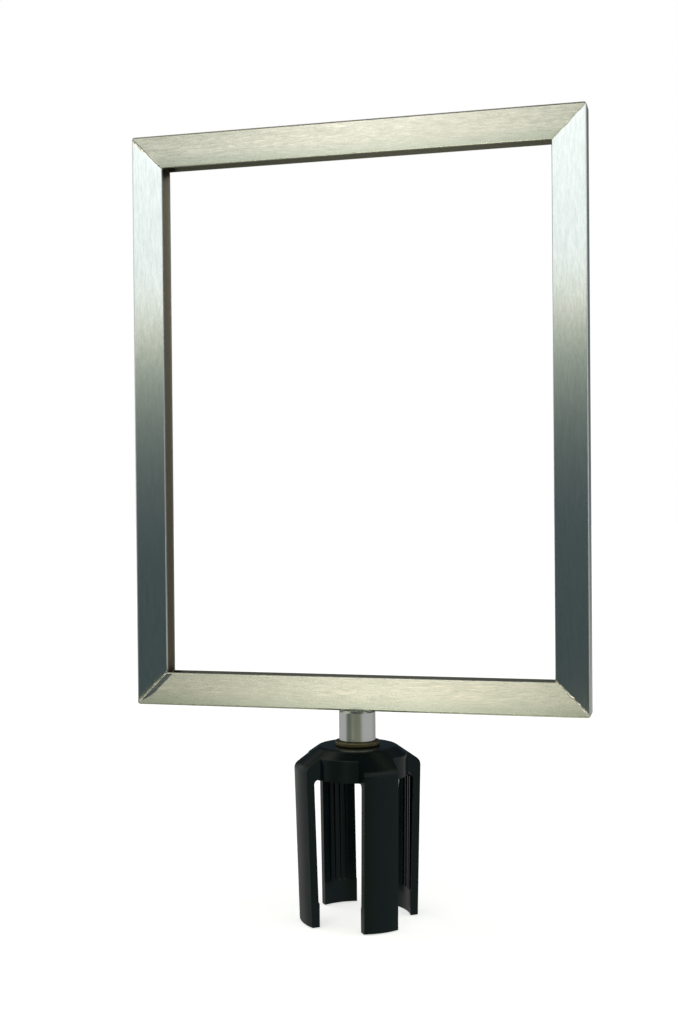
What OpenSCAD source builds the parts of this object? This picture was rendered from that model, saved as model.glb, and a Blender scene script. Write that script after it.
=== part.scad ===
// Post-top sign frame: a picture frame on a swivelling stem, in a four-legged adapter for a post head.
// Origin: centre of the mouth between the leg tips, on the swivel axis. +Z up, the frame's front faces -Y.

/* [Sign sheet] */
// Width of the sheet that the frame holds
sheet_w = 215.9; // [150:0.1:300]
// Height of the sheet
sheet_h = 279.4; // [200:0.1:420]
// Free space between the sheet's edge and the groove's floor
sheet_gap = 0.55; // [0.2:0.05:1]
// Width of the slot that the sheet is loaded through
slot_w = 5; // [3:0.1:5.4]
// Free space at each end of the slot, beside the sheet
slot_end_gap = 1.6; // [0.5:0.1:2.5]

/* [Frame profile] */
// Front-to-back depth of the profile
profile_depth = 12; // [11:0.1:18]
// Outer edge of the frame to the floor of the sheet groove
groove_floor = 12.5; // [11.8:0.1:16]
// Depth of the sheet groove, floor to lip edge
lip_l = 5; // [3:0.1:8]
// Wall thickness of the profile
wall = 1.4; // [1:0.05:1.6]
// Radius of the profile's outer edges
edge_r = 1.2; // [0.5:0.05:1.35]
// Radius of the two lip edges
lip_edge_r = 0.5; // [0.2:0.05:0.9]
// Radius of the frame's four outer corners
corner_r = 2; // [0.5:0.1:4]

/* [Corner keys] */
// Thickness of the flat L plate
key_t = 1.6; // [1:0.05:1.8]
// Length of each leg, from the frame's outer edge
key_l = 36; // [25:0.5:60]
// Free space between the key's edges and the hollow's walls
key_gap = 0.1; // [0.05:0.05:0.3]

/* [Stem] */
// Diameter of the stem
stem_d = 19.05; // [17:0.05:22.4]
// Length of the stem between the frame and the bush flange
stem_l = 15.85; // [15:0.05:40]
// Chamfer at the stem's top edge
stem_top_chamfer = 0.9; // [0.2:0.1:1.5]
// Chamfer at the stem's shoulder
stem_foot_chamfer = 0.4; // [0.1:0.1:0.8]
// Diameter of the spigot that turns in the bush
spigot_d = 12.7; // [10.5:0.1:14]

/* [Stem screw] */
// Thread diameter of the stem screw
stem_screw_d = 5; // [4:0.1:5.2]
// Length of the stem screw under its head
stem_screw_l = 16; // [12:0.5:16]
// Head diameter
stem_screw_head_d = 8.5; // [7:0.1:8.8]
// Head height
stem_screw_head_h = 5; // [4:0.1:5.2]
// Socket size across flats
stem_screw_socket = 4; // [2.5:0.5:4.5]
// Outer diameter of the split washer
lock_washer_d = 8.1; // [7.5:0.1:8.6]
// Thickness of the split washer
lock_washer_t = 1.6; // [1:0.1:1.7]
// Width of the gap in the split washer
lock_washer_split = 1; // [0.5:0.1:1.5]
// Diameter of the hole that the screw and its driver pass through in the groove's floor
access_d = 9; // [8.8:0.05:9.1]

/* [Clamp bar] */
// Length of the clamp bar
bar_l = 60; // [30:1:90]
// Thickness of the clamp bar
bar_t = 2.5; // [1.5:0.1:2.8]
// Free space between the bar and the hollow's front and back walls
bar_gap = 0.1; // [0.05:0.05:0.3]

/* [Swivel bush] */
// Outer diameter of the bush sleeve
sleeve_d = 15.9; // [15:0.1:18]
// Diameter of the bush flange
flange_d = 23.5; // [22.6:0.1:28]
// Thickness of the bush flange
flange_t = 2.5; // [2:0.1:4]
// Radius of the flange's rim
flange_edge_r = 0.7; // [0.2:0.1:0.9]
// Radial clearance between the spigot and the bush
bush_clear = 0.05; // [0.02:0.01:0.1]
// Clearance between the stem's shoulder and the flange
thrust_gap = 0.05; // [0.02:0.01:0.2]

/* [Pivot screw and washers] */
// Thread diameter of the pivot screw
pivot_screw_d = 6; // [5:0.1:7]
// Length of the pivot screw under its head
pivot_screw_l = 12; // [8:0.5:13]
// Head diameter
pivot_head_d = 10.5; // [9.5:0.1:13]
// Head height
pivot_head_h = 3.3; // [2.8:0.1:4]
// Radius of the head's outer edge
pivot_head_round = 1.3; // [0.5:0.1:1.3]
// Socket size across flats
pivot_socket = 4; // [3:0.5:5]
// Diameter of the retaining washer
retaining_d = 20; // [16:0.5:22]
// Thickness of the retaining washer
retaining_t = 1.6; // [1:0.1:2]
// Diameter of the friction washer
friction_d = 20; // [16:0.5:22]
// Thickness of the friction washer
friction_t = 1; // [0.5:0.1:1.3]
// Radial clearance between the spigot and the friction washer
friction_clear = 0.3; // [0.2:0.05:0.6]
// End play of the swivel
end_play = 0.1; // [0.05:0.05:0.3]

/* [Adapter cap] */
// Height of the whole adapter
adapter_h = 90; // [80:1:140]
// Height of the cap above the seat for the post head
cap_h = 15.1; // [14.1:0.1:22]
// Radius of the cap's flat top
flat_r = 20.3; // [18:0.1:22.5]
// Radius of the edge between the flat top and the slope
flat_edge_r = 4; // [1:0.1:5]
// Thickness of the cap
cap_t = 3; // [2.5:0.1:4]
// Outer radius of the skirt between the legs
skirt_r = 26; // [24.5:0.1:26.8]
// Thickness of the skirt
skirt_t = 2.5; // [2:0.1:3]
// Height of the broken edge at the top of the skirt
skirt_edge = 0.3; // [0.2:0.1:1]
// Radius of the hub that holds the bush
hub_r = 11.5; // [10.5:0.1:13]
// Length of the hub, from the cap's top
hub_l = 7; // [6:0.1:7.4]

/* [Adapter legs] */
// Radius of the legs' outer faces at the shoulder
shoulder_r = 33.2; // [31.5:0.1:40]
// Height of the shoulder above the seat
shoulder_h = 6.1; // [3.5:0.1:8]
// Radius of the rounded shoulder
shoulder_round = 4; // [1:0.1:5]
// How far each leg leans in over its length
leg_lean = 2.2; // [1:0.1:2.6]
// Wall thickness of a leg
leg_t = 3.8; // [2.5:0.1:3.9]
// Width of a leg
leg_w = 18.6; // [12:0.1:24]
// Radius of the fillet between a leg's inner face and its root
root_fillet = 2.4; // [1:0.1:2.6]
// Radius of the outer edge at the leg tips
tip_round = 0.5; // [0.2:0.1:1]
// Radius of the grip band inside the leg tips
grip_r = 27; // [26.8:0.05:27.1]
// Height of the grip band
grip_h = 12; // [8:0.5:16]
// Number of ribs on the inside of each leg
rib_count = 4; // [2:1:5]
// Width of a rib
rib_w = 1.2; // [0.8:0.1:1.6]
// Distance between ribs
rib_pitch = 3; // [2:0.1:3.4]
// Height of a rib at the leg's root
rib_h = 1.2; // [0.5:0.1:1.5]
// Distance from the seat down to the top of the ribs
rib_top = 3; // [1:0.5:10]
// Turn of the legs away from 45 degrees to the frame
legs_turn = -8.8; // [-45:0.1:45]

/* [Hidden] */
$fn = 64;
thread_gap = 0.05;                       // between a screw and what it passes through or screws into
screw_hole_gap = 0.25;                   // radial, clearance holes for the stem screw
face_w = groove_floor + lip_l;
frame_w = sheet_w + 2 * sheet_gap + 2 * groove_floor;
frame_h = sheet_h + 2 * sheet_gap + 2 * groove_floor;
hollow_half = profile_depth / 2 - wall;  // the hollow and the groove run from -hollow_half to +hollow_half
hollow_h = groove_floor - 2 * wall;      // height of the hollow between its two walls
slot_l = sheet_w + 2 * slot_end_gap;
seat_z = adapter_h - cap_h;
hub_z = adapter_h - hub_l;
flange_top_z = adapter_h + flange_t;
shoulder_foot_z = flange_top_z + thrust_gap;
frame_z = shoulder_foot_z + stem_l;      // underside of the frame
frame_mid_z = frame_z + frame_h / 2;
spigot_z = hub_z - friction_t - end_play;
retaining_z = spigot_z - retaining_t;
pivot_head_z = retaining_z - pivot_head_h;
pivot_tip_z = retaining_z + pivot_screw_l;
bar_z = frame_z + wall;
lock_washer_z = bar_z + bar_t;
stem_head_z = lock_washer_z + lock_washer_t;
stem_tip_z = stem_head_z - stem_screw_l;
tap_run_out = 0.5;                       // how far each tapped hole runs past its screw's tip
shoulder_z = seat_z + shoulder_h;
slope = (cap_h - shoulder_h) / (shoulder_r - flat_r);
tip_r = shoulder_r - leg_lean;
lean = leg_lean / shoulder_z;            // radius lost for each millimetre down
rib_z = seat_z - rib_top;
root_z = seat_z + 0.5;                   // the leg roots stand clear of the seat's plane
seat_r = skirt_r + 0.4;                  // the seat runs a little wider where it passes a leg
far = 400;                               // longer than anything that is cut

function unit(v) = v / norm(v);
function half_angle(a, p, b) = acos(unit(a - p) * unit(b - p)) / 2;
function cut_back(a, p, b, r) = r / tan(half_angle(a, p, b));
function arc_centre(a, p, b, r) = p + r / sin(half_angle(a, p, b)) * unit(unit(a - p) + unit(b - p));
function before(points, i) = points[(i + len(points) - 1) % len(points)];
function after(points, i) = points[(i + 1) % len(points)];

// An outline whose convex corners are rounded, each to its own radius; 0 leaves a corner sharp
module rounded_outline(points, radii) {
    last = len(points) - 1;
    polygon([for (i = [0 : last])
        let (p = points[i], a = before(points, i), b = after(points, i))
        let (t = radii[i] > 0 ? cut_back(a, p, b, radii[i]) : 0)
        each t > 0 ? [p + t * unit(a - p), p + t * unit(b - p)] : [p]]);
    for (i = [0 : last])
        if (radii[i] > 0)
            translate(arc_centre(before(points, i), points[i], after(points, i), radii[i]))
                circle(r = radii[i]);
}

// Cross-section of the frame profile: x is front to back, y runs from the outer edge to the window
module profile_section() {
    d = profile_depth / 2;
    difference() {
        rounded_outline([[-d, 0], [d, 0], [d, face_w], [-d, face_w]],
                        [edge_r, edge_r, lip_edge_r, lip_edge_r]);
        translate([-hollow_half, wall]) square([2 * hollow_half, hollow_h]);
        translate([-hollow_half, groove_floor]) square([2 * hollow_half, lip_l + 1]);
    }
}

// A length of profile along X with its ends mitred; outer edge at z = 0, window side up
module mitred_bar(length) {
    half = length / 2;
    intersection() {
        rotate([90, 0, 90]) linear_extrude(height = length, center = true) profile_section();
        rotate([90, 0, 0]) linear_extrude(height = profile_depth + 2, center = true)
            polygon([[-half, 0], [half, 0], [half - face_w, face_w], [face_w - half, face_w]]);
    }
}

// The frame's outline with its rounded corners, as a prism that trims the four members
module frame_prism() {
    x = frame_w / 2;
    z = frame_h / 2;
    translate([0, 0, frame_mid_z]) rotate([90, 0, 0])
        linear_extrude(height = profile_depth + 2, center = true)
            rounded_outline([[-x, -z], [x, -z], [x, z], [-x, z]], [corner_r, corner_r, corner_r, corner_r]);
}

module frame_top_rail() {
    color([0.80, 0.80, 0.74]) difference() {
        intersection() {
            translate([0, 0, frame_z + frame_h]) rotate([0, 180, 0]) mitred_bar(frame_w);
            frame_prism();
        }
        loading_slot();
    }
}

// Round-ended slot through the outer wall and the groove's floor, for the sheet
module loading_slot() {
    half = slot_l / 2 - slot_w / 2;
    translate([0, 0, frame_z + frame_h - groove_floor - 1]) {
        translate([-half, -slot_w / 2, 0]) cube([2 * half, slot_w, groove_floor + 2]);
        for (x = [-half, half])
            translate([x, 0, 0]) cylinder(d = slot_w, h = groove_floor + 2);
    }
}

module frame_bottom_rail() {
    color([0.78, 0.78, 0.72]) difference() {
        intersection() {
            translate([0, 0, frame_z]) mitred_bar(frame_w);
            frame_prism();
        }
        translate([0, 0, frame_z - 1]) cylinder(r = stem_screw_d / 2 + screw_hole_gap, h = wall + 2);
        translate([0, 0, frame_z + groove_floor - wall - 0.5]) cylinder(d = access_d, h = wall + 1);
    }
}

module frame_left_stile() {
    color([0.66, 0.69, 0.69]) intersection() {
        translate([-frame_w / 2, 0, frame_mid_z]) rotate([0, 90, 0]) mitred_bar(frame_h);
        frame_prism();
    }
}

module frame_right_stile() {
    color([0.66, 0.69, 0.69]) intersection() {
        translate([frame_w / 2, 0, frame_mid_z]) rotate([0, -90, 0]) mitred_bar(frame_h);
        frame_prism();
    }
}

// Flat L plate inside a corner of the hollow, against its back wall; side and level are -1 or 1
module corner_key(side, level) {
    a = wall + key_gap;
    b = wall + hollow_h - key_gap;
    translate([side * frame_w / 2, hollow_half, frame_mid_z + level * frame_h / 2])
        rotate([90, 0, 0]) linear_extrude(height = key_t)
            polygon([for (p = [[a, a], [key_l, a], [key_l, b], [b, b], [b, key_l], [a, key_l]])
                [-side * p.x, -level * p.y]]);
}

module corner_key_top_left() { color("silver") corner_key(-1, 1); }
module corner_key_top_right() { color("silver") corner_key(1, 1); }
module corner_key_bottom_left() { color("silver") corner_key(-1, -1); }
module corner_key_bottom_right() { color("silver") corner_key(1, -1); }

module stem_clamp_bar() {
    width = 2 * (hollow_half - bar_gap);
    color("gray") difference() {
        translate([-bar_l / 2, -width / 2, bar_z]) cube([bar_l, width, bar_t]);
        translate([0, 0, bar_z - 1]) cylinder(r = stem_screw_d / 2 + screw_hole_gap, h = bar_t + 2);
    }
}

// Hexagon socket, cut downwards from z = 0
module hex_socket(flats, depth) {
    translate([0, 0, -depth]) cylinder(d = flats / cos(30), h = depth + 1, $fn = 6);
}

module stem_screw() {
    color("dimgray") difference() {
        union() {
            translate([0, 0, stem_head_z]) cylinder(d = stem_screw_head_d, h = stem_screw_head_h);
            translate([0, 0, stem_tip_z]) cylinder(d = stem_screw_d, h = stem_screw_l);
        }
        translate([0, 0, stem_head_z + stem_screw_head_h]) hex_socket(stem_screw_socket, stem_screw_head_h / 2);
    }
}

module stem_lock_washer() {
    color("dimgray") translate([0, 0, lock_washer_z]) difference() {
        cylinder(d = lock_washer_d, h = lock_washer_t);
        translate([0, 0, -1]) cylinder(r = stem_screw_d / 2 + thread_gap, h = lock_washer_t + 2);
        translate([0, -lock_washer_split / 2, -1]) cube([lock_washer_d, lock_washer_split, lock_washer_t + 2]);
    }
}

module stem() {
    r = stem_d / 2;
    foot = shoulder_foot_z;
    color([0.62, 0.65, 0.66]) difference() {
        rotate_extrude() polygon([
            [0, spigot_z], [spigot_d / 2, spigot_z], [spigot_d / 2, foot],
            [r - stem_foot_chamfer, foot], [r, foot + stem_foot_chamfer],
            [r, frame_z - stem_top_chamfer], [r - stem_top_chamfer, frame_z], [0, frame_z]]);
        translate([0, 0, stem_tip_z - tap_run_out])
            cylinder(r = stem_screw_d / 2 + thread_gap, h = frame_z + 1 - stem_tip_z + tap_run_out);
        translate([0, 0, spigot_z - 1])
            cylinder(r = pivot_screw_d / 2 + thread_gap, h = pivot_tip_z + tap_run_out - spigot_z + 1);
    }
}

module swivel_bush() {
    r = flange_d / 2;
    bore_r = spigot_d / 2 + bush_clear;
    color([0.24, 0.22, 0.14]) rotate_extrude() difference() {
        union() {
            translate([0, hub_z]) square([sleeve_d / 2, hub_l]);
            rounded_outline([[0, adapter_h], [r, adapter_h], [r, flange_top_z], [0, flange_top_z]],
                            [0, flange_edge_r, flange_edge_r, 0]);
        }
        translate([0, hub_z - 1]) square([bore_r, far]);
    }
}

module pivot_screw() {
    r = pivot_head_d / 2;
    color("dimgray") difference() {
        union() {
            rotate_extrude() rounded_outline(
                [[0, pivot_head_z], [r, pivot_head_z], [r, retaining_z], [0, retaining_z]],
                [0, pivot_head_round, 0, 0]);
            translate([0, 0, retaining_z - 0.5]) cylinder(d = pivot_screw_d, h = pivot_screw_l + 0.5);
        }
        translate([0, 0, pivot_head_z]) mirror([0, 0, 1]) hex_socket(pivot_socket, pivot_head_h / 2);
    }
}

// Flat round washer standing on z = 0
module washer(d, hole_r, t) {
    difference() {
        cylinder(d = d, h = t);
        translate([0, 0, -1]) cylinder(r = hole_r, h = t + 2);
    }
}

module retaining_washer() {
    color("silver") translate([0, 0, retaining_z])
        washer(retaining_d, pivot_screw_d / 2 + thread_gap, retaining_t);
}

module friction_washer() {
    color("ivory") translate([0, 0, hub_z - friction_t])
        washer(friction_d, spigot_d / 2 + friction_clear, friction_t);
}

// Radius of the legs' outer and inner faces at a height
function outer_leg_r(z) = shoulder_r - (shoulder_z - z) * lean;
function inner_leg_r(z) = outer_leg_r(z) - leg_t;
// Height of the cap's slope at a radius
function slope_z(r) = adapter_h - (r - flat_r) * slope;

// Section of the cap and a leg: flat top, slope, rounded shoulder, leaning wall, grip band, skirt and hub
module adapter_section() {
    inner = skirt_r - skirt_t;
    roof = adapter_h - cap_t;
    slope_wall = cap_t * sqrt(1 + slope * slope);
    bend = flat_r - cap_t * (sqrt(1 + slope * slope) - 1) / slope;
    root_start = [seat_r, root_z];
    root_r = inner_leg_r(root_z - root_fillet);
    root_curve = [for (a = [90 : -15 : 0]) [root_r, root_z] + root_fillet * [sin(a) - 1, cos(a) - 1]];
    grip_corner = [inner_leg_r(grip_h + 1), grip_h + 1];
    difference() {
        rounded_outline(concat([[0, adapter_h], [flat_r, adapter_h], [shoulder_r, shoulder_z], [tip_r, 0],
                                [grip_r, 0], [grip_r, grip_h], grip_corner], root_curve,
                               [root_start, [seat_r, seat_z], [0, seat_z]]),
                        concat([0, flat_edge_r, shoulder_round, tip_round, 0, 0, 0],
                               [for (p = root_curve) 0], [0, 0, 0]));
        polygon([[hub_r, seat_z - 1], [inner, seat_z - 1], [inner, slope_z(inner) - slope_wall],
                 [bend, roof], [hub_r, roof]]);
        translate([0, seat_z - 1]) square([hub_r + 1, hub_z - seat_z + 1]);
    }
}

// Turns its child to each leg in turn: X points along the leg, and the gap after it lies between X and Y
module for_each_leg() {
    for (k = [0 : 3])
        rotate([0, 0, 45 + legs_turn + 90 * k]) children();
}

// What is taken away between the legs, outside the skirt; it also breaks the skirt's top edge
module leg_gaps() {
    edge_z = slope_z(skirt_r) - skirt_edge;
    above = adapter_h + 1;
    side = leg_w / 2;
    intersection() {
        rotate_extrude() polygon([[skirt_r, -1], [skirt_r, edge_z], [skirt_r - (above - edge_z) / 2, above],
                                  [shoulder_r + 1, above], [shoulder_r + 1, -1]]);
        for_each_leg() translate([side, side, -2]) cube([shoulder_r, shoulder_r, adapter_h + 4]);
    }
}

// Ribs along the inside of the legs, which run out into the grip band
module ribs() {
    top_r = inner_leg_r(rib_z);
    intersection() {
        rotate_extrude() polygon([[top_r - rib_h, rib_z], [top_r + leg_t / 2, rib_z],
                                  [tip_r - leg_t / 2, grip_h - 1], [grip_r, grip_h - 1]]);
        for_each_leg()
            for (i = [0 : rib_count - 1])
                translate([grip_r / 2, (i - (rib_count - 1) / 2) * rib_pitch - rib_w / 2, 0])
                    cube([shoulder_r, rib_w, adapter_h]);
    }
}

module adapter_body() {
    color([0.10, 0.115, 0.115]) difference() {
        union() {
            difference() {
                rotate_extrude() adapter_section();
                leg_gaps();
            }
            ribs();
        }
        translate([0, 0, hub_z - 1]) cylinder(d = sleeve_d, h = hub_l + 2);
    }
}

frame_top_rail();
frame_bottom_rail();
frame_left_stile();
frame_right_stile();
corner_key_top_left();
corner_key_top_right();
corner_key_bottom_left();
corner_key_bottom_right();
stem_clamp_bar();
stem_screw();
stem_lock_washer();
stem();
swivel_bush();
pivot_screw();
retaining_washer();
friction_washer();
adapter_body();
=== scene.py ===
# Sign frame on a swivelling stem, in a four-legged adapter for a post head.
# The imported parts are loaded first; each section below then gives one piece its shape and finish.
import math

import bmesh
import bpy
from mathutils import Matrix, Vector


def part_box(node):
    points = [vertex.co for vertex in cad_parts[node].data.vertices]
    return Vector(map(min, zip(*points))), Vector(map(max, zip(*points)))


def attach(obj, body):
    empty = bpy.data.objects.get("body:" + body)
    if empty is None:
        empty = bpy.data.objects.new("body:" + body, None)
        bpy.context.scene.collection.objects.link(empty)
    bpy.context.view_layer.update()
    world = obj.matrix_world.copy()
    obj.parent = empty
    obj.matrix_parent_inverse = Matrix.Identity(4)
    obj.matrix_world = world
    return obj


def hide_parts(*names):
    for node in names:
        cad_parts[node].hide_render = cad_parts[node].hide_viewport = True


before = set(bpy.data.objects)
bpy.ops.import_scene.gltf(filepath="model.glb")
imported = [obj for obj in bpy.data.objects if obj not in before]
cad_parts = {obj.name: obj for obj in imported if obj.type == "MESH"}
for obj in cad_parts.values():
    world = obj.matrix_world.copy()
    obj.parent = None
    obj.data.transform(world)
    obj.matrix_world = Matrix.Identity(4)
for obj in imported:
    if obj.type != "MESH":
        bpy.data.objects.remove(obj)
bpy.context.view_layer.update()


# The four frame members: lengths of thin-walled aluminium profile, cut to 45 degrees and butted at the
# corners. They are brushed along their length under a clear, slightly cloudy finish, and the edges of
# every cut are filed by hand, so the grain and the light break at each joint.
MILLIMETRE = 0.001
WALL = 1.4 * MILLIMETRE
low_corner, high_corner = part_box("frame_left_stile")
FRAME_LEFT, FRAME_LOW, FRAME_HIGH = low_corner.x, low_corner.z, high_corner.z
FACE_WIDTH = high_corner.x - FRAME_LEFT
HOLLOW_HALF = high_corner.y - WALL


def node_group(name, inputs, outputs):
    group = bpy.data.node_groups.new(name, "ShaderNodeTree")
    for way, sockets in (("INPUT", inputs), ("OUTPUT", outputs)):
        for socket_name, kind in sockets:
            group.interface.new_socket(socket_name, in_out=way, socket_type=kind)
    return group, group.nodes.new("NodeGroupInput"), group.nodes.new("NodeGroupOutput")


def placed(tree, group, vector):
    node = tree.nodes.new("ShaderNodeGroup")
    node.node_tree = group
    tree.links.new(vector, node.inputs["Vector"])
    return node.outputs


def math_node(tree, operation, first, second=None):
    node = tree.nodes.new("ShaderNodeMath")
    node.operation = operation
    for socket, value in zip(node.inputs, (first, second)):
        if isinstance(value, bpy.types.NodeSocket):
            tree.links.new(value, socket)
        elif value is not None:
            socket.default_value = value
    return node.outputs[0]


def plus(tree, first, second):
    return math_node(tree, "ADD", first, second)


def minus(tree, first, second):
    return math_node(tree, "SUBTRACT", first, second)


def times(tree, first, second):
    return math_node(tree, "MULTIPLY", first, second)


def unsigned(tree, value):
    return math_node(tree, "ABSOLUTE", value)


def smaller(tree, first, second):
    return math_node(tree, "MINIMUM", first, second)


def larger(tree, first, second):
    return math_node(tree, "MAXIMUM", first, second)


def map_range(tree, value, low, high, to_low=0.0, to_high=1.0):
    node = tree.nodes.new("ShaderNodeMapRange")
    tree.links.new(value, node.inputs["Value"])
    for key, number in (("From Min", low), ("From Max", high), ("To Min", to_low), ("To Max", to_high)):
        node.inputs[key].default_value = number
    return node.outputs["Result"]


def noise(tree, vector, scale, detail=4.0, roughness=0.55):
    node = tree.nodes.new("ShaderNodeTexNoise")
    node.inputs["Scale"].default_value = scale
    node.inputs["Detail"].default_value = detail
    node.inputs["Roughness"].default_value = roughness
    tree.links.new(vector, node.inputs["Vector"])
    return node.outputs["Fac"]


def stretched(tree, vector, factors):
    node = tree.nodes.new("ShaderNodeVectorMath")
    node.operation = "MULTIPLY"
    tree.links.new(vector, node.inputs[0])
    node.inputs[1].default_value = factors
    return node.outputs[0]


def turned(tree, vector, angles):
    node = tree.nodes.new("ShaderNodeMapping")
    node.inputs["Rotation"].default_value = angles
    tree.links.new(vector, node.inputs["Vector"])
    return node.outputs[0]


def split_place(tree, vector):
    node = tree.nodes.new("ShaderNodeSeparateXYZ")
    tree.links.new(vector, node.inputs[0])
    return node.outputs


def mixed(tree, factor, first, second, blend="MIX"):
    """A colour between first and second, each of which is a socket or a plain colour."""
    node = tree.nodes.new("ShaderNodeMix")
    node.data_type = "RGBA"
    node.blend_type = blend
    tree.links.new(factor, node.inputs["Factor"])
    for key, value in (("A", first), ("B", second)):
        if isinstance(value, bpy.types.NodeSocket):
            tree.links.new(value, node.inputs[key])
        else:
            node.inputs[key].default_value = (*value, 1.0)
    return node.outputs["Result"]


def bump(tree, height, strength, distance, under=None):
    node = tree.nodes.new("ShaderNodeBump")
    node.inputs["Strength"].default_value = strength
    node.inputs["Distance"].default_value = distance
    tree.links.new(height, node.inputs["Height"])
    if under is not None:
        tree.links.new(under, node.inputs["Normal"])
    return node.outputs["Normal"]


def new_material(name):
    material = bpy.data.materials.new(name)
    material.use_nodes = True
    tree = material.node_tree
    tree.nodes.clear()
    shader = tree.nodes.new("ShaderNodeBsdfPrincipled")
    out = tree.nodes.new("ShaderNodeOutputMaterial")
    tree.links.new(shader.outputs[0], out.inputs["Surface"])
    return material, tree, shader


def place_vector(tree):
    return tree.nodes.new("ShaderNodeTexCoord").outputs["Object"]


def brushed_grain():
    """Fine streaks along Z of the vector it is given, broken into lengths, with broad cloudy patches."""
    group, given, put_out = node_group(
        "brushed_grain",
        [("Vector", "NodeSocketVector")],
        [("Grain", "NodeSocketFloat"), ("Scratches", "NodeSocketFloat"), ("Cloud", "NodeSocketFloat")])

    def streaks(shortness, scale, detail, roughness):
        vector = stretched(group, given.outputs["Vector"], (1.0, 1.0, shortness))
        return noise(group, vector, scale, detail, roughness)

    fine = streaks(0.11, 2400.0, 3.0, 0.6)
    coarse = streaks(0.16, 620.0, 3.0, 0.6)
    scratches = streaks(0.05, 1300.0, 2.0, 0.5)
    cloud = streaks(0.35, 28.0, 4.0, 0.6)
    grain = plus(group, times(group, fine, 0.6), times(group, coarse, 0.4))
    group.links.new(grain, put_out.inputs["Grain"])
    group.links.new(map_range(group, scratches, 0.62, 0.74), put_out.inputs["Scratches"])
    group.links.new(cloud, put_out.inputs["Cloud"])
    return group


# How far the hairline of a joint strays from its true line, slowly and quickly.
SLOW_STRAY, QUICK_STRAY = 1.2 * MILLIMETRE, 0.8 * MILLIMETRE
# Each side of the hairline: its dark core, its soft edge, and the groove round it.
GAP_CORE, GAP_EDGE, GROOVE_HALF = 0.06 * MILLIMETRE, 0.24 * MILLIMETRE, 0.34 * MILLIMETRE
# The strip that was dressed with the stile: how wide it gets, how fast it widens upward, its soft edge, and
# the groove along that edge.
STRIP_WIDTH, STRIP_TAPER = 3.0 * MILLIMETRE, 0.6
STRIP_EDGE, STRIP_GROOVE = 0.1 * MILLIMETRE, 0.16 * MILLIMETRE
# Where the frame's outer sides give way to its faces, and the edge that is broken along each face.
SIDE_START, SIDE_END = 0.6 * MILLIMETRE, 1.2 * MILLIMETRE
BROKEN_EDGE = 0.35 * MILLIMETRE


def stray(tree, vector, scale, amount):
    return times(tree, minus(tree, noise(tree, vector, scale, 2.0), 0.5), amount)


def quick_stray(tree, vector):
    return stray(tree, vector, 1300.0, QUICK_STRAY)


def measured(tree, vector):
    """How far a place is in from the frame's outer side, in from its end, and past the joint into the
    rail, and whether it is in the left half and in the lower half."""
    place = split_place(tree, vector)
    middle, half = (FRAME_LOW + FRAME_HIGH) / 2, (FRAME_HIGH - FRAME_LOW) / 2
    from_side = minus(tree, -FRAME_LEFT, unsigned(tree, place["X"]))
    from_end = minus(tree, half, unsigned(tree, minus(tree, place["Z"], middle)))
    into_rail = times(tree, minus(tree, from_side, from_end), math.sqrt(0.5))
    left = math_node(tree, "LESS_THAN", place["X"], 0.0)
    low = math_node(tree, "LESS_THAN", place["Z"], middle)
    return from_side, from_end, into_rail, left, low


def into_strip(tree, from_end, into_rail, quick):
    """How far a place is inside the strip that was dressed with the stile, below 0 outside it."""
    width = smaller(tree, times(tree, from_end, STRIP_TAPER), STRIP_WIDTH)
    return minus(tree, width, plus(tree, into_rail, quick))


def mitre_seam():
    """The joint at each corner. Gap is a hairline that strays, and Height has a shallow groove along it,
    and another along the dressed strip at the bottom left. Edge falls to 0 at the long edges of a face,
    and Deep at the outer sides of the frame, which keeps the painted channel shade off those sides."""
    group, given, put_out = node_group(
        "mitre_seam",
        [("Vector", "NodeSocketVector")],
        [("Gap", "NodeSocketFloat"), ("Height", "NodeSocketFloat"),
         ("Edge", "NodeSocketFloat"), ("Deep", "NodeSocketFloat")])
    vector = given.outputs["Vector"]
    from_side, from_end, into_rail, left, low = measured(group, vector)
    slow, quick = stray(group, vector, 220.0, SLOW_STRAY), quick_stray(group, vector)
    off_joint = unsigned(group, plus(group, into_rail, plus(group, slow, quick)))
    openness = plus(group, times(group, left, 0.75), times(group, low, 0.20))
    gap = times(group, map_range(group, off_joint, GAP_CORE, GAP_EDGE, 1.0, 0.0), openness)
    group.links.new(gap, put_out.inputs["Gap"])

    groove = map_range(group, off_joint, 0.0, GROOVE_HALF)
    off_strip = unsigned(group, into_strip(group, from_end, into_rail, quick))
    elsewhere = minus(group, 1.0, times(group, left, low))
    strip_groove = larger(group, map_range(group, off_strip, 0.0, STRIP_GROOVE), elsewhere)
    sunk = minus(group, 1.0, times(group, groove, strip_groove))
    depth = plus(group, 0.4, times(group, low, 0.6))
    group.links.new(minus(group, 1.0, times(group, sunk, depth)), put_out.inputs["Height"])

    from_outside = smaller(group, from_side, from_end)
    group.links.new(map_range(group, from_outside, SIDE_START, SIDE_END), put_out.inputs["Deep"])
    from_edge = smaller(group, from_outside, minus(group, FACE_WIDTH, from_outside))
    group.links.new(map_range(group, from_edge, 0.0, BROKEN_EDGE), put_out.inputs["Edge"])
    return group


GRAIN = brushed_grain()
SEAM = mitre_seam()
# The dirt in a joint, and the painted shade along the rails' lower edges: its full height, its end and its
# stray.
GAP_COLOUR = (0.06, 0.06, 0.05)
LOWER_EDGE_SHADE_COLOUR = (0.52, 0.58, 0.53)
LOWER_EDGE_SHADE_LOW, LOWER_EDGE_SHADE_HIGH, LOWER_EDGE_SHADE_RAGGED = 1.5 * MILLIMETRE, 8.5 * MILLIMETRE, 1.5 * MILLIMETRE


def around(tree, axis):
    """The direction that runs round an axis, which is across a grain brushed along that axis."""
    node = tree.nodes.new("ShaderNodeTangent")
    node.direction_type = "RADIAL"
    node.axis = axis
    return node.outputs[0]


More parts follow.
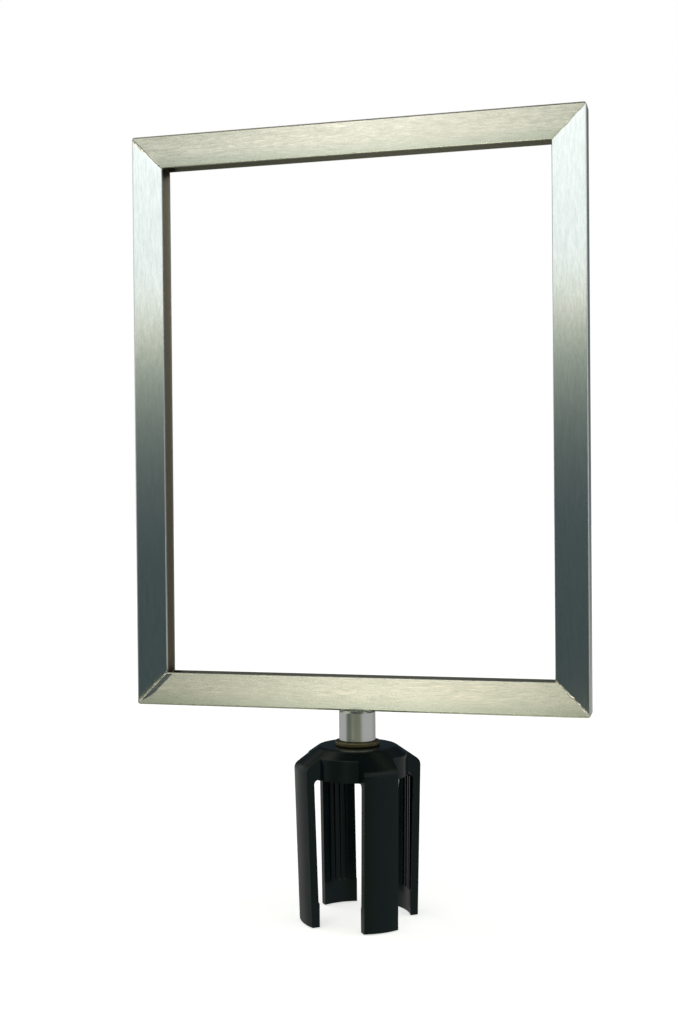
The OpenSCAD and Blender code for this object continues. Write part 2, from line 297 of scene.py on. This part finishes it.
def brushed_metal(name, light, dark, painted_channel_shade, softness, upright):
    """Metal brushed along Z if it is upright, or else along X. The third colour is painted shade: it is laid
    on the faces inside the profile in place of the shadow in the channel.
    """
    material, tree, shader = new_material(name)
    here = place_vector(tree)
    place = split_place(tree, here)
    grain = placed(tree, GRAIN, here if upright else turned(tree, here, (0.0, math.pi / 2, 0.0)))
    seam = placed(tree, SEAM, here)
    # Painted shade: the faces inside the channel take the darker third colour and more roughness, standing in
    # for the shadow there.
    in_channel_shade = map_range(tree, unsigned(tree, place["Y"]),
                       HOLLOW_HALF + 0.1 * MILLIMETRE, HOLLOW_HALF + 0.4 * MILLIMETRE, 1.0, 0.0)
    in_channel_shade = times(tree, in_channel_shade, seam["Deep"])

    brushed = mixed(tree, map_range(tree, grain["Grain"], 0.35, 0.65), dark, light)
    brushed = mixed(tree, map_range(tree, grain["Cloud"], 0.35, 0.65, 0.0, 0.35), brushed, dark)
    if not upright:
        # Painted shade: each rail is darker along its lower edge, where the face turns down, and the shade
        # has a ragged upper edge.
        above_low_edge = math_node(tree, "MODULO", minus(tree, place["Z"], FRAME_LOW - 0.1 * MILLIMETRE),
                                   FRAME_HIGH - FRAME_LOW - FACE_WIDTH)
        ragged = map_range(tree, grain["Cloud"], 0.3, 0.7, -LOWER_EDGE_SHADE_RAGGED, LOWER_EDGE_SHADE_RAGGED)
        lower_edge_shade = map_range(tree, plus(tree, above_low_edge, ragged), LOWER_EDGE_SHADE_LOW, LOWER_EDGE_SHADE_HIGH, 0.75, 0.0)
        brushed = mixed(tree, lower_edge_shade, brushed, LOWER_EDGE_SHADE_COLOUR)
    brushed = mixed(tree, seam["Gap"], brushed, GAP_COLOUR)
    tree.links.new(mixed(tree, in_channel_shade, brushed, painted_channel_shade), shader.inputs["Base Color"])

    shader.inputs["Metallic"].default_value = 1.0
    rough = plus(tree, map_range(tree, grain["Grain"], 0.3, 0.7, 0.02, -0.02),
                 map_range(tree, grain["Cloud"], 0.3, 0.7, softness - 0.02, softness + 0.02))
    rough = plus(tree, rough, times(tree, seam["Gap"], 0.3))
    tree.links.new(larger(tree, rough, times(tree, in_channel_shade, 0.45)), shader.inputs["Roughness"])

    shader.inputs["Anisotropic"].default_value = 1.0
    tangent = around(tree, "Z")
    if not upright:
        # The rail's own grain runs along X, except in the strip that was dressed with the stile.
        from_end, into_rail, left, low = measured(tree, here)[1:]
        in_strip = into_strip(tree, from_end, into_rail, quick_stray(tree, here))
        in_strip = map_range(tree, in_strip, -STRIP_EDGE, STRIP_EDGE)
        choice = tree.nodes.new("ShaderNodeMix")
        choice.data_type = "VECTOR"
        tree.links.new(times(tree, times(tree, left, low), in_strip), choice.inputs["Factor"])
        tree.links.new(around(tree, "X"), choice.inputs["A"])
        tree.links.new(tangent, choice.inputs["B"])
        tangent = choice.outputs["Result"]
    tree.links.new(tangent, shader.inputs["Tangent"])

    edges = bump(tree, seam["Edge"], 1.0, 0.3 * MILLIMETRE)
    joints = bump(tree, seam["Height"], 1.0, 0.3 * MILLIMETRE, edges)
    scratched = minus(tree, grain["Grain"], times(tree, grain["Scratches"], 0.5))
    tree.links.new(bump(tree, scratched, 0.10, 0.2 * MILLIMETRE, joints), shader.inputs["Normal"])
    return material


# The third colour of each finish is the painted shade inside the channel.
stile_metal = brushed_metal("brushed_frame_upright", light=(0.90, 0.90, 0.88), dark=(0.70, 0.74, 0.72),
                            painted_channel_shade=(0.46, 0.42, 0.34), softness=0.19, upright=True)
rail_metal = brushed_metal("brushed_frame_across", light=(0.97, 0.94, 0.90), dark=(0.62, 0.65, 0.61),
                           painted_channel_shade=(0.20, 0.21, 0.20), softness=0.265, upright=False)

# The filed bevels along both sides of each joint, front and back. A member is scored at FIRST_WIDTH and at
# SLAB from the joint, and across the slab at every STEP. The first line then moves to the bevel's own width,
# and the edge at the joint sinks by BEVEL_SLOPE times that width. The channel inside keeps its shape.
FIRST_WIDTH, SLAB, STEP = 0.35 * MILLIMETRE, 3.0 * MILLIMETRE, 1.0 * MILLIMETRE
BEVEL_SLOPE = 0.32
CHANNEL_MARGIN = 0.2 * MILLIMETRE
JOINT_LENGTH = FACE_WIDTH * math.sqrt(2)
TOUCHING, CUT_PRECISION = 1e-6, 1e-7
# Faces that meet within FLAT_ANGLE become one, and an edge over SHARP_ANGLE stays sharp.
FLAT_ANGLE, SHARP_ANGLE = math.radians(0.3), math.radians(9)
# (left -1 or right 1, low -1 or high 1): widths in mm on the stile's side and on the rail's side, each as
# (place from the outer corner at 0 to the lip at 1, width).
BEVELS = {
    (-1, 1): (((0, 0.8), (0.3, 1.0), (0.36, 1.5), (0.42, 0.4), (1, 0.3)),
              ((0, 0.3), (0.3, 0.5), (0.36, 0.8), (0.45, 0.5), (1, 0.3))),
    (1, 1): (((0, 0.3), (0.15, 0.5), (0.2, 0.2), (1, 0.15)),
             ((0, 0.3), (0.15, 0.45), (0.2, 0.2), (1, 0.15))),
    (-1, -1): (((0, 0.4), (0.5, 0.3), (0.6, 0.6), (0.7, 0.3), (1, 0.5)),
               ((0, 0.6), (0.5, 0.5), (0.8, 0.7), (1, 2.4))),
    (1, -1): (((0, 0.6), (0.45, 0.6), (0.5, 1.0), (0.55, 0.6), (1, 0.7)),
              ((0, 0.5), (0.45, 0.6), (0.5, 1.1), (0.6, 0.7), (0.8, 1.0), (1, 2.4))),
}
# The two waves along a joint that make a width uneven, and their share of it.
SLOW_WAVE, QUICK_WAVE, WAVE_SHARE = 23, 61, 0.35


def width_at(stops, place, phase):
    """The bevel's width in metres at a place along its joint, uneven as a file leaves it."""
    place = min(max(place, 0.0), 1.0)
    for (low, first), (high, second) in zip(stops, stops[1:]):
        if place <= high:
            width = first + (second - first) * (place - low) / (high - low)
            break
    unevenness = math.sin(QUICK_WAVE * place + phase) * math.sin(SLOW_WAVE * place + 2 * phase)
    return width * (1 + WAVE_SHARE * unevenness) * MILLIMETRE


def inset(vert, corner, inward):
    """How far into the member a point lies from the plane of the cut."""
    return (vert.co - corner).dot(inward)


def near_cut(form, corner, inward):
    """The faces that lie wholly within the slab next to a cut, with their edges and their points."""
    faces = [f for f in form.faces if all(inset(v, corner, inward) < SLAB + TOUCHING for v in f.verts)]
    edges = {e for f in faces for e in f.edges}
    return faces + list(edges) + list({v for e in edges for v in e.verts})


def cut_bevels(form, run, side, level):
    """Cuts the bevels at one end of a member that runs along the direction given."""
    upright = run.z > 0
    corner = Vector((side * -FRAME_LEFT, 0, FRAME_HIGH if level > 0 else FRAME_LOW))
    inward = Vector((side, 0, -level)).normalized() * (1 if upright else -1)
    along = Vector((-side, 0, -level)).normalized()
    for distance in (FIRST_WIDTH, SLAB):
        bmesh.ops.bisect_plane(form, geom=form.faces[:] + form.edges[:] + form.verts[:], dist=CUT_PRECISION,
                               plane_co=corner + inward * distance, plane_no=inward)
    for count in range(1, int(JOINT_LENGTH / STEP) + 1):
        bmesh.ops.bisect_plane(form, geom=near_cut(form, corner, inward), dist=CUT_PRECISION,
                               plane_co=corner + along * STEP * count, plane_no=along)
    stops = BEVELS[side, level][0 if upright else 1]
    into_member = run * math.copysign(math.sqrt(2), run.dot(inward))
    for vert in form.verts:
        if abs(vert.co.y) < HOLLOW_HALF + CHANNEL_MARGIN:
            continue
        distance = inset(vert, corner, inward)
        front = math.copysign(1, vert.co.y)
        place = (vert.co - corner).dot(along) / JOINT_LENGTH
        width = width_at(stops, place, 2 * side + level + front)
        if distance < TOUCHING:
            vert.co.y -= front * width * BEVEL_SLOPE
        elif abs(distance - FIRST_WIDTH) < TOUCHING:
            vert.co += into_member * (width - FIRST_WIDTH)


def dressed_member(node_name, piece_name, run, ends, material):
    """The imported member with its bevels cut, as a piece that is shown in its place."""
    form = bmesh.new()
    form.from_mesh(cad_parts[node_name].data)
    bmesh.ops.remove_doubles(form, verts=form.verts, dist=TOUCHING)
    bmesh.ops.dissolve_limit(form, angle_limit=FLAT_ANGLE, verts=form.verts, edges=form.edges)
    for side, level in ends:
        cut_bevels(form, run, side, level)
    mesh = bpy.data.meshes.new(piece_name)
    form.to_mesh(mesh)
    form.free()
    if "custom_normal" in mesh.attributes:
        mesh.attributes.remove(mesh.attributes["custom_normal"])
    for polygon in mesh.polygons:
        polygon.use_smooth = True
    mesh.set_sharp_from_angle(angle=SHARP_ANGLE)
    mesh.materials.append(material)
    piece = bpy.data.objects.new(piece_name, mesh)
    bpy.context.collection.objects.link(piece)
    normals = piece.modifiers.new("even_normals", "WEIGHTED_NORMAL")
    normals.keep_sharp = True
    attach(piece, "sign")
    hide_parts(node_name)


UPWARD, ACROSS = Vector((0, 0, 1)), Vector((1, 0, 0))
dressed_member("frame_left_stile", "left_stile", UPWARD, ((-1, 1), (-1, -1)), stile_metal)
dressed_member("frame_right_stile", "right_stile", UPWARD, ((1, 1), (1, -1)), stile_metal)
dressed_member("frame_top_rail", "top_rail", ACROSS, ((-1, 1), (1, 1)), rail_metal)
dressed_member("frame_bottom_rail", "bottom_rail", ACROSS, ((-1, -1), (1, -1)), rail_metal)


# The stem: a turned steel post between the frame and the adapter, held by a screw from inside the
# bottom rail. It has the fine rings and the satin finish that the lathe leaves.
stem_metal, tree, shader = new_material("turned_stem")
rings = noise(tree, stretched(tree, place_vector(tree), (0.04, 0.04, 1.0)), 5200.0, 2.0, 0.5)
tree.links.new(mixed(tree, rings, (0.62, 0.64, 0.64), (0.68, 0.70, 0.70)), shader.inputs["Base Color"])
shader.inputs["Metallic"].default_value = 1.0
tree.links.new(map_range(tree, rings, 0.3, 0.7, 0.20, 0.25), shader.inputs["Roughness"])
tree.links.new(bump(tree, rings, 0.04, 0.1 * MILLIMETRE), shader.inputs["Normal"])
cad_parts["stem"].data.materials[0] = stem_metal


# The swivel bush: oil-filled sintered bronze, pressed into the cap of the adapter. The stem turns
# in it, and it is dark and slightly stained on its rim.
def mottled(name, scale, detail, dark, light, metallic, roughness):
    """A finish whose colour and gloss vary a little from place to place."""
    material, tree, shader = new_material(name)
    patches = noise(tree, place_vector(tree), scale, detail, 0.6)
    tree.links.new(mixed(tree, patches, dark, light), shader.inputs["Base Color"])
    shader.inputs["Metallic"].default_value = metallic
    tree.links.new(map_range(tree, patches, 0.3, 0.7, *roughness), shader.inputs["Roughness"])
    return material


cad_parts["swivel_bush"].data.materials[0] = mottled(
    "bush_bronze", 400.0, 5.0, (0.06, 0.055, 0.03), (0.17, 0.15, 0.08), 0.9, (0.28, 0.45))


# The adapter: one black plastic moulding, a cap with four legs that slips over the head of a post.
# It is satin, with the very fine texture of its mould.
black, tree, shader = new_material("black_moulding")
skin = noise(tree, place_vector(tree), 900.0, 3.0, 0.6)
patch = noise(tree, place_vector(tree), 60.0, 3.0, 0.6)
colour = mixed(tree, patch, (0.0008, 0.0032, 0.0036), (0.0016, 0.0046, 0.0050))
tree.links.new(colour, shader.inputs["Base Color"])
shader.inputs["Specular IOR Level"].default_value = 0.22
shader.inputs["Specular Tint"].default_value = (0.80, 1.0, 1.0, 1.0)
tree.links.new(map_range(tree, patch, 0.3, 0.7, 0.21, 0.29), shader.inputs["Roughness"])
tree.links.new(bump(tree, skin, 0.15, 0.1 * MILLIMETRE), shader.inputs["Normal"])
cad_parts["adapter_body"].data.materials[0] = black


# The fasteners and keys inside: zinc-plated steel, and black-oxide steel for the stem screw and its
# lock washer. The friction washer, which gives the swivel its drag, is plain nylon.
plated = mottled("plated_steel", 300.0, 4.0, (0.50, 0.51, 0.50), (0.66, 0.66, 0.63), 1.0, (0.25, 0.42))
oxide = mottled("black_steel", 300.0, 4.0, (0.02, 0.02, 0.022), (0.05, 0.05, 0.05), 0.8, (0.35, 0.5))
nylon = mottled("washer_nylon", 200.0, 4.0, (0.72, 0.70, 0.62), (0.80, 0.78, 0.70), 0.0, (0.4, 0.5))
for name in ("corner_key_top_left", "corner_key_top_right", "corner_key_bottom_left",
             "corner_key_bottom_right", "stem_clamp_bar", "retaining_washer", "pivot_screw"):
    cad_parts[name].data.materials[0] = plated
for name in ("stem_screw", "stem_lock_washer"):
    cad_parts[name].data.materials[0] = oxide
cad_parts["friction_washer"].data.materials[0] = nylon


# The studio: a plain pale floor under the legs, and a room of soft light for the metal to mirror. The
# wall ahead of the sign is dark at eye level and bright and cool above it, the side walls are pale, and
# the ceiling and the room behind are dim.
FLOOR_HALF, FLOOR_FRONT, FLOOR_BACK, FLOOR_LEVEL = 6.0, -0.45, 9.0, -0.5 * MILLIMETRE
floor_mesh = bpy.data.meshes.new("floor")
floor_mesh.from_pydata(
    [(-FLOOR_HALF, FLOOR_FRONT, FLOOR_LEVEL), (FLOOR_HALF, FLOOR_FRONT, FLOOR_LEVEL),
     (FLOOR_HALF, FLOOR_BACK, FLOOR_LEVEL), (-FLOOR_HALF, FLOOR_BACK, FLOOR_LEVEL)], [], [(0, 1, 2, 3)])
floor = bpy.data.objects.new("floor", floor_mesh)
bpy.context.collection.objects.link(floor)
paint, tree, shader = new_material("floor_paint")
shader.inputs["Base Color"].default_value = (0.86, 0.90, 0.96, 1.0)
shader.inputs["Roughness"].default_value = 0.9
shader.inputs["Emission Color"].default_value = (1.0, 1.0, 1.0, 1.0)
shader.inputs["Emission Strength"].default_value = 0.62
floor.visible_glossy = False
floor_mesh.materials.append(paint)

world = bpy.data.worlds.new("studio")
bpy.context.scene.world = world
world.use_nodes = True
tree = world.node_tree
tree.nodes.clear()


def ramp_of(stops, value):
    ramp = tree.nodes.new("ShaderNodeValToRGB")
    elements = ramp.color_ramp.elements
    while len(elements) < len(stops):
        elements.new(0.5)
    for element, (position, colour) in zip(elements, stops):
        element.position = position
        element.color = (*colour, 1.0)
    tree.links.new(value, ramp.inputs["Fac"])
    return ramp.outputs["Color"]


def between_angles(value, start, end, to_start=0.0, to_end=1.0):
    return map_range(tree, value, math.radians(start), math.radians(end), to_start, to_end)


# A direction has a height, from straight down at 0 to straight up at 1, and an angle from straight ahead of
# the sign, positive towards +X. The bands of the wall ahead rise a little towards +X, by LEAN per radian.
LEAN, LEAN_START, LEAN_END, BAND_LIFT = 0.022, -0.6, 0.3, 0.0085
direction = split_place(tree, tree.nodes.new("ShaderNodeTexCoord").outputs["Generated"])
height = map_range(tree, direction["Z"], -1.0, 1.0)
angle = math_node(tree, "ARCTAN2", direction["X"], times(tree, direction["Y"], -1.0))
lean = times(tree, larger(tree, smaller(tree, angle, LEAN_END), LEAN_START), LEAN)
leaning_height = minus(tree, height, plus(tree, lean, BAND_LIFT))
ahead = ramp_of([(0.00, (0.42, 0.40, 0.20)), (0.36, (0.44, 0.43, 0.25)), (0.42, (0.045, 0.066, 0.072)),
                 (0.485, (0.055, 0.080, 0.084)), (0.520, (0.12, 0.15, 0.145)), (0.549, (0.33, 0.38, 0.31)),
                 (0.562, (0.92, 0.92, 0.76)), (0.576, (1.06, 1.13, 1.14)), (0.64, (1.06, 1.13, 1.13)),
                 (0.70, (0.44, 0.41, 0.19)), (0.80, (0.80, 0.78, 0.58)), (0.90, (0.80, 0.80, 0.60)),
                 (0.955, (0.06, 0.065, 0.06))], leaning_height)
lamp = ramp_of([(0.00, (2.7, 2.5, 2.05)), (0.31, (2.7, 2.5, 2.05)), (0.37, (0.0, 0.0, 0.0)),
                (0.60, (0.0, 0.0, 0.0)), (0.68, (1.35, 1.28, 1.22)), (0.85, (1.35, 1.28, 1.22)),
                (0.92, (0.0, 0.0, 0.0))], height)
beside = ramp_of([(0.00, (0.45, 0.44, 0.40)), (0.40, (0.50, 0.50, 0.48)), (0.55, (0.60, 0.62, 0.62)),
                  (0.80, (1.15, 1.10, 0.95)), (0.90, (1.15, 1.10, 0.95)), (0.96, (0.10, 0.10, 0.10))], height)
behind = ramp_of([(0.00, (0.16, 0.16, 0.16)), (0.34, (0.16, 0.16, 0.16)), (0.40, (0.42, 0.41, 0.39)),
                  (0.43, (0.42, 0.41, 0.39)), (0.47, (0.15, 0.16, 0.17)), (0.52, (0.060, 0.085, 0.105)),
                  (0.72, (0.024, 0.036, 0.044)), (0.88, (0.20, 0.20, 0.20)),
                  (0.96, (0.06, 0.06, 0.06))], height)
to_sides = larger(tree, between_angles(angle, -50, -66), between_angles(angle, 30, 50))
to_back = between_angles(unsigned(tree, angle), 120, 140)
# A low lamp and a high one, one above the other and a little to one side, are soft upright bars of light
# with a brighter core.
LAMP_ANGLE = -14.6
from_lamp = unsigned(tree, minus(tree, angle, math.radians(LAMP_ANGLE)))
lamp_strength = plus(tree, between_angles(from_lamp, 6.5, 10, 0.55, 0.0),
                     between_angles(from_lamp, 1.0, 4.5, 0.45, 0.0))
lit_ahead = mixed(tree, lamp_strength, ahead, lamp, "ADD")
room_colour = mixed(tree, to_back, mixed(tree, to_sides, lit_ahead, beside), behind)

# The camera itself sees plain white; everything else sees the room.
room = tree.nodes.new("ShaderNodeBackground")
tree.links.new(room_colour, room.inputs["Color"])
white = tree.nodes.new("ShaderNodeBackground")
white.inputs["Color"].default_value = (1.0, 1.0, 1.0, 1.0)
seen = tree.nodes.new("ShaderNodeMixShader")
tree.links.new(tree.nodes.new("ShaderNodeLightPath").outputs["Is Camera Ray"], seen.inputs["Fac"])
tree.links.new(room.outputs[0], seen.inputs[1])
tree.links.new(white.outputs[0], seen.inputs[2])
out = tree.nodes.new("ShaderNodeOutputWorld")
tree.links.new(seen.outputs[0], out.inputs["Surface"])


# The camera: at about half the height of the whole stand, a little to the right of its front, and close
# enough for the far side of the frame to look smaller than the near one.
AZIMUTH, ELEVATION, ROLL = math.radians(14.755), math.radians(0.655), -0.009
DISTANCE = 0.71784
AIM = Vector((-0.008864, 0.0, 0.21158))
camera_data = bpy.data.cameras.new("camera")
camera_data.sensor_fit = "VERTICAL"
camera_data.sensor_height = 36.0
camera_data.lens = 48.229
camera_data.clip_start, camera_data.clip_end = 0.01, 20.0
camera = bpy.data.objects.new("camera", camera_data)
bpy.context.collection.objects.link(camera)
bpy.context.scene.camera = camera
back = Vector((math.sin(AZIMUTH) * math.cos(ELEVATION), -math.cos(AZIMUTH) * math.cos(ELEVATION),
               math.sin(ELEVATION)))
level = Vector((math.cos(AZIMUTH), math.sin(AZIMUTH), 0.0))
upward = back.cross(level)
right = math.cos(ROLL) * level + math.sin(ROLL) * upward
up = -math.sin(ROLL) * level + math.cos(ROLL) * upward
camera_place = Matrix((right, up, back)).transposed().to_4x4()
camera_place.translation = AIM + back * DISTANCE
camera.matrix_world = camera_place
bpy.context.scene.view_settings.view_transform = "Standard"
